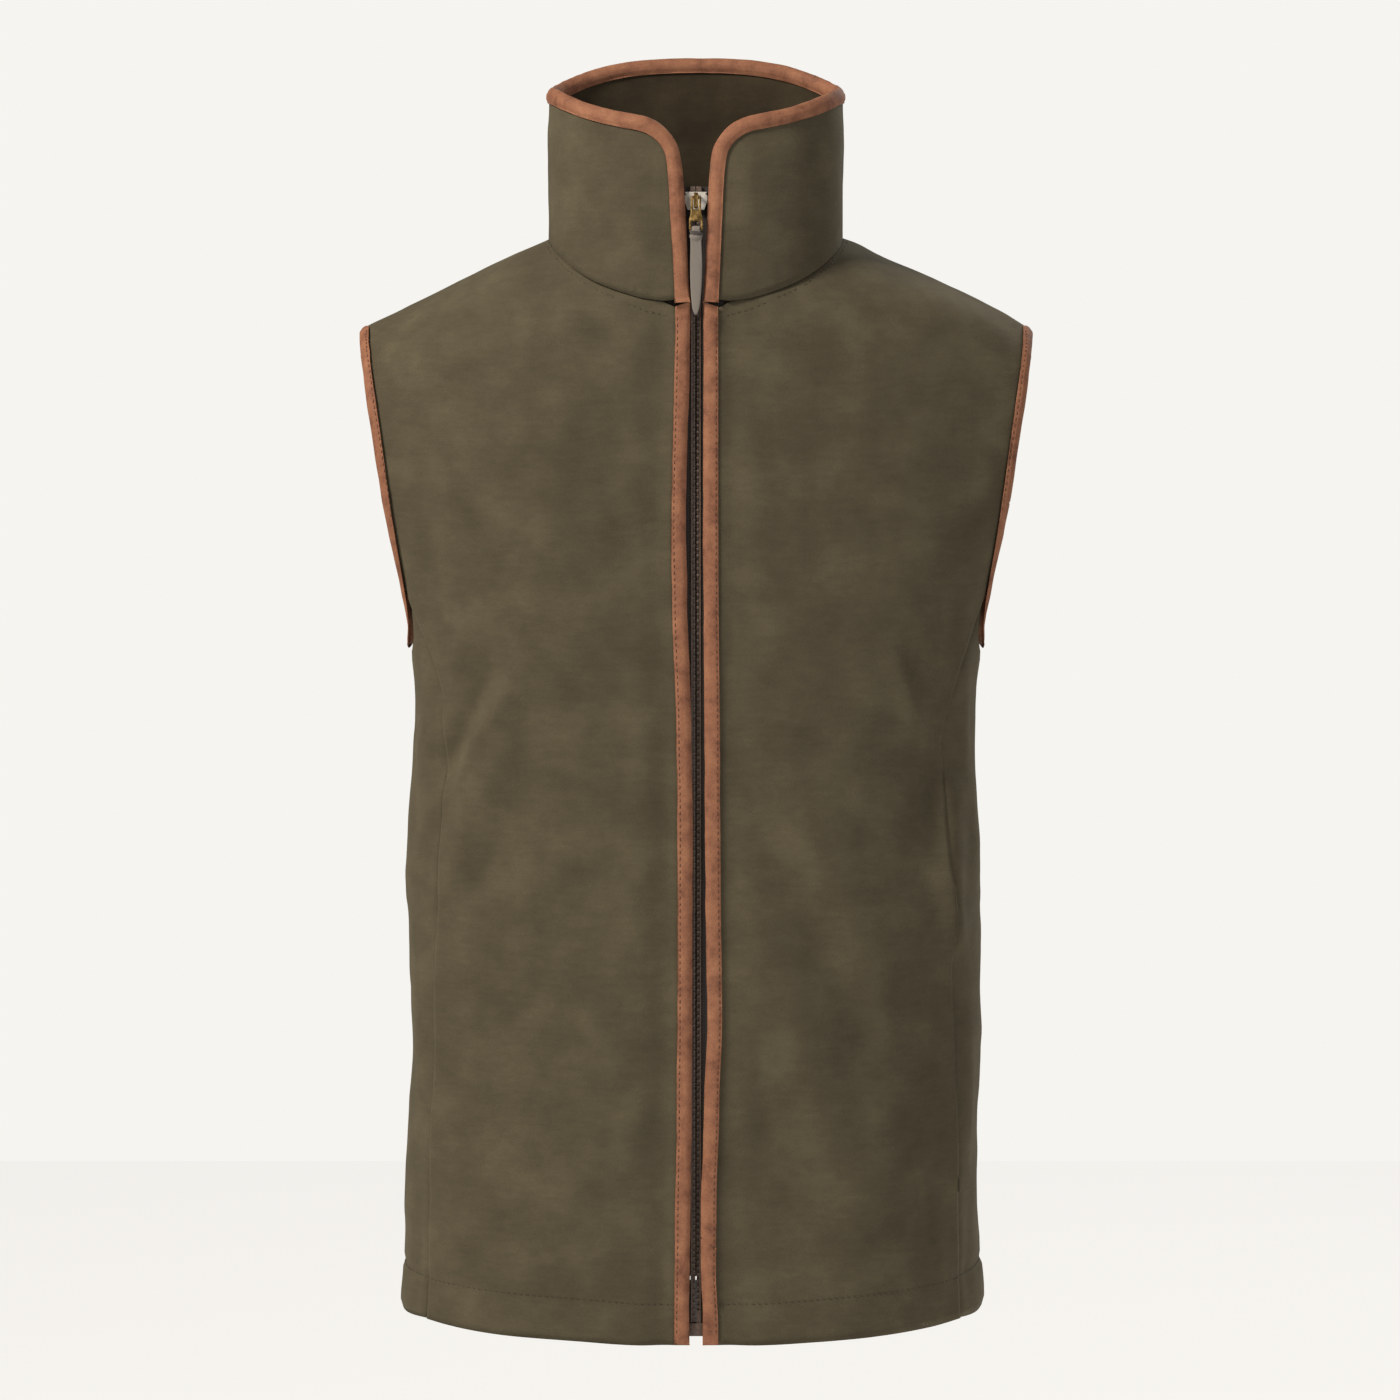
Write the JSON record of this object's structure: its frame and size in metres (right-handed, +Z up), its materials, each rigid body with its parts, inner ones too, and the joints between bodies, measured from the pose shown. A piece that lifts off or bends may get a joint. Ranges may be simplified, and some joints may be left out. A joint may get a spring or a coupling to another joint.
{
  "type": "sleeveless zip-front waistcoat",
  "caption": "Sleeveless zip-front country waistcoat with a standing collar, leather-bound edges and seam pockets, in its worn shape.",
  "frame": {"origin": "middle of the hanger loop's underside, at the centre back of the neck, where a hook carries the garment", "axes": "+Z up, -Y forwards out of the front, +X towards the wearer's left"},
  "size_m": [0.4286, 0.2313, 0.7985],
  "materials": {
    "fleece": "matte brushed bonded fleece, olive brown",
    "fleece_inside": "matte fleece, darker olive",
    "nubuck": "matte tan nubuck leather",
    "canvas": "plain woven stiffening",
    "lining": "smooth woven lining",
    "tape": "woven polyester tape, dark brown",
    "acetal": "moulded plastic, dark brown",
    "enamel": "cream enamelled zinc",
    "brass": "antique brass",
    "ribbon": "taupe woven ribbon",
    "thread": "polyester thread"
  },
  "bodies": {
    "garment": {"armhole_binding_left": "nubuck", "armhole_binding_right": "nubuck", "back_panel": "fleece", "collar_binding": "nubuck", "collar_interlining": "canvas", "collar_lining": "fleece_inside", "collar_shell": "fleece", "front_binding_left": "nubuck", "front_binding_right": "nubuck", "front_panel_left": "fleece", "front_panel_right": "fleece", "hanger_loop": "lining", "insertion_pin": "acetal", "neck_tape": "lining", "pocket_bag_back_left": "lining", "pocket_bag_back_right": "lining", "pocket_bag_front_left": "lining", "pocket_bag_front_right": "lining", "pocket_tack_lower_left": "thread", "pocket_tack_lower_right": "thread", "pocket_tack_upper_left": "thread", "pocket_tack_upper_right": "thread", "retainer_box": "acetal", "side_panel_left": "fleece", "side_panel_right": "fleece", "top_stop_left": "brass", "top_stop_right": "brass", "zip_chain_left": "acetal", "zip_chain_right": "acetal", "zip_tape_left": "tape", "zip_tape_right": "tape"},
    "slider": {"slider_body": "enamel", "slider_bridge": "brass"},
    "pull_tab": {"pull_tab": "brass"},
    "pull_ribbon": {"pull_ribbon": "ribbon"}
  },
  "joints": [
    {"name": "zip_slide", "type": "slide", "parent": "garment", "child": "slider", "axis": [0, -0.0523, -0.9986], "range_m": [0, 0.68613]},
    {"name": "tab_hinge", "type": "hinge", "parent": "slider", "child": "pull_tab", "pos_m": [0, -0.12604, -0.00219], "axis": [-1, 0, 0], "range_deg": [0, 120]},
    {"name": "ribbon_hinge", "type": "hinge", "parent": "pull_tab", "child": "pull_ribbon", "pos_m": [0, -0.12704, -0.02137], "axis": [-1, 0, 0], "range_deg": [0, 60]}
  ]
}
